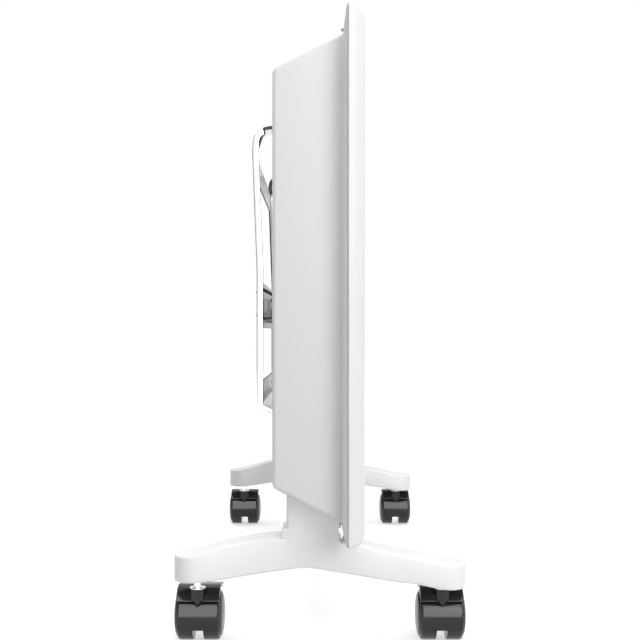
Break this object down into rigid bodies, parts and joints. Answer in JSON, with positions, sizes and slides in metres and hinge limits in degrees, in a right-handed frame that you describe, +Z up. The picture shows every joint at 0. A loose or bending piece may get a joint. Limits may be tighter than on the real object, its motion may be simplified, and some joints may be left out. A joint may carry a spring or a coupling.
{
  "type": "convector heater",
  "caption": "Slim panel convector heater with a dished front, sloping rear casing, hung wall bracket and two arched feet on twin-wheel swivel casters.",
  "frame": {"origin": "on the floor under the middle of the heater's box", "axes": "+X along the heater's width towards its control end, -Y out of its front panel, +Z up"},
  "size_m": [0.64, 0.2324, 0.487],
  "materials": {
    "white_enamel": "satin white enamel",
    "white_moulding": "satin white moulding",
    "zinc_plate": "bright zinc plate",
    "bright_chrome": "bright chrome",
    "dark_steel": "blackened",
    "black_hood": "gloss black",
    "black_tread": "gloss black",
    "aluminium_fins": "mill finish",
    "sheath_steel": "heat-tinted",
    "grey_plastic": "satin grey",
    "black_plastic": "satin black",
    "amber_lens": "clear amber"
  },
  "bodies": {
    "heater": {"front_panel": "white_enamel", "outlet_grille": "white_moulding", "rear_casing": "white_enamel", "wall_bracket": "zinc_plate", "bracket_catch_left": "dark_steel", "bracket_catch_right": "dark_steel", "bracket_rivet_left_upper": "zinc_plate", "bracket_rivet_left_lower": "zinc_plate", "bracket_rivet_right_upper": "zinc_plate", "bracket_rivet_right_lower": "zinc_plate", "foot_left": "white_moulding", "foot_right": "white_moulding", "foot_plate_left": "zinc_plate", "foot_plate_right": "zinc_plate", "foot_screw_left_outer": "bright_chrome", "foot_screw_left_inner": "bright_chrome", "foot_screw_right_outer": "bright_chrome", "foot_screw_right_inner": "bright_chrome", "casing_screw_left": "dark_steel", "casing_screw_right": "dark_steel", "caster_front_left_stem": "bright_chrome", "caster_front_left_collar": "bright_chrome", "caster_rear_left_stem": "bright_chrome", "caster_rear_left_collar": "bright_chrome", "caster_front_right_stem": "bright_chrome", "caster_front_right_collar": "bright_chrome", "caster_rear_right_stem": "bright_chrome", "caster_rear_right_collar": "bright_chrome", "element_fins": "aluminium_fins", "element_sheath": "sheath_steel", "element_support_left": "zinc_plate", "element_support_right": "zinc_plate", "heat_shield": "zinc_plate", "thermal_cutout": "black_plastic", "tip_over_switch": "grey_plastic", "terminal_block": "grey_plastic", "cable_gland": "black_plastic", "control_bezel": "grey_plastic", "thermostat_body": "grey_plastic", "switch_body": "black_plastic", "indicator_lens": "amber_lens"},
    "swivel_front_left": {"caster_front_left_hood": "black_hood", "caster_front_left_axle": "dark_steel"},
    "swivel_rear_left": {"caster_rear_left_hood": "black_hood", "caster_rear_left_axle": "dark_steel"},
    "swivel_front_right": {"caster_front_right_hood": "black_hood", "caster_front_right_axle": "dark_steel"},
    "swivel_rear_right": {"caster_rear_right_hood": "black_hood", "caster_rear_right_axle": "dark_steel"},
    "wheel_front_left_a": {"caster_front_left_wheel_a": "black_tread"},
    "wheel_front_left_b": {"caster_front_left_wheel_b": "black_tread"},
    "wheel_rear_left_a": {"caster_rear_left_wheel_a": "black_tread"},
    "wheel_rear_left_b": {"caster_rear_left_wheel_b": "black_tread"},
    "wheel_front_right_a": {"caster_front_right_wheel_a": "black_tread"},
    "wheel_front_right_b": {"caster_front_right_wheel_b": "black_tread"},
    "wheel_rear_right_a": {"caster_rear_right_wheel_a": "black_tread"},
    "wheel_rear_right_b": {"caster_rear_right_wheel_b": "black_tread"},
    "knob": {"thermostat_knob": "white_moulding", "thermostat_shaft": "zinc_plate"},
    "rocker": {"switch_rocker": "black_plastic"}
  },
  "joints": [
    {"name": "front_left_swivel", "type": "hinge", "parent": "heater", "child": "swivel_front_left", "pos_m": [-0.259, -0.0962, 0.04], "axis": [0, 0, 1], "continuous": true},
    {"name": "rear_left_swivel", "type": "hinge", "parent": "heater", "child": "swivel_rear_left", "pos_m": [-0.259, 0.0962, 0.04], "axis": [0, 0, 1], "continuous": true},
    {"name": "front_right_swivel", "type": "hinge", "parent": "heater", "child": "swivel_front_right", "pos_m": [0.259, -0.0962, 0.04], "axis": [0, 0, 1], "continuous": true},
    {"name": "rear_right_swivel", "type": "hinge", "parent": "heater", "child": "swivel_rear_right", "pos_m": [0.259, 0.0962, 0.04], "axis": [0, 0, 1], "continuous": true},
    {"name": "front_left_roll_a", "type": "hinge", "parent": "swivel_front_left", "child": "wheel_front_left_a", "pos_m": [-0.242, -0.0962, 0.02], "axis": [0, 1, 0], "continuous": true},
    {"name": "front_left_roll_b", "type": "hinge", "parent": "swivel_front_left", "child": "wheel_front_left_b", "pos_m": [-0.242, -0.0962, 0.02], "axis": [0, 1, 0], "continuous": true},
    {"name": "rear_left_roll_a", "type": "hinge", "parent": "swivel_rear_left", "child": "wheel_rear_left_a", "pos_m": [-0.242, 0.0962, 0.02], "axis": [0, 1, 0], "continuous": true},
    {"name": "rear_left_roll_b", "type": "hinge", "parent": "swivel_rear_left", "child": "wheel_rear_left_b", "pos_m": [-0.242, 0.0962, 0.02], "axis": [0, 1, 0], "continuous": true},
    {"name": "front_right_roll_a", "type": "hinge", "parent": "swivel_front_right", "child": "wheel_front_right_a", "pos_m": [0.276, -0.0962, 0.02], "axis": [0, 1, 0], "continuous": true},
    {"name": "front_right_roll_b", "type": "hinge", "parent": "swivel_front_right", "child": "wheel_front_right_b", "pos_m": [0.276, -0.0962, 0.02], "axis": [0, 1, 0], "continuous": true},
    {"name": "rear_right_roll_a", "type": "hinge", "parent": "swivel_rear_right", "child": "wheel_rear_right_a", "pos_m": [0.276, 0.0962, 0.02], "axis": [0, 1, 0], "continuous": true},
    {"name": "rear_right_roll_b", "type": "hinge", "parent": "swivel_rear_right", "child": "wheel_rear_right_b", "pos_m": [0.276, 0.0962, 0.02], "axis": [0, 1, 0], "continuous": true},
    {"name": "thermostat_turn", "type": "hinge", "parent": "heater", "child": "knob", "pos_m": [0.305, 0.0094, 0.406], "axis": [1, 0, 0], "range_deg": [0, 270]},
    {"name": "rocker_tilt", "type": "hinge", "parent": "heater", "child": "rocker", "pos_m": [0.2963, 0.0094, 0.356], "axis": [0, 1, 0], "range_deg": [-16, 0]}
  ]
}
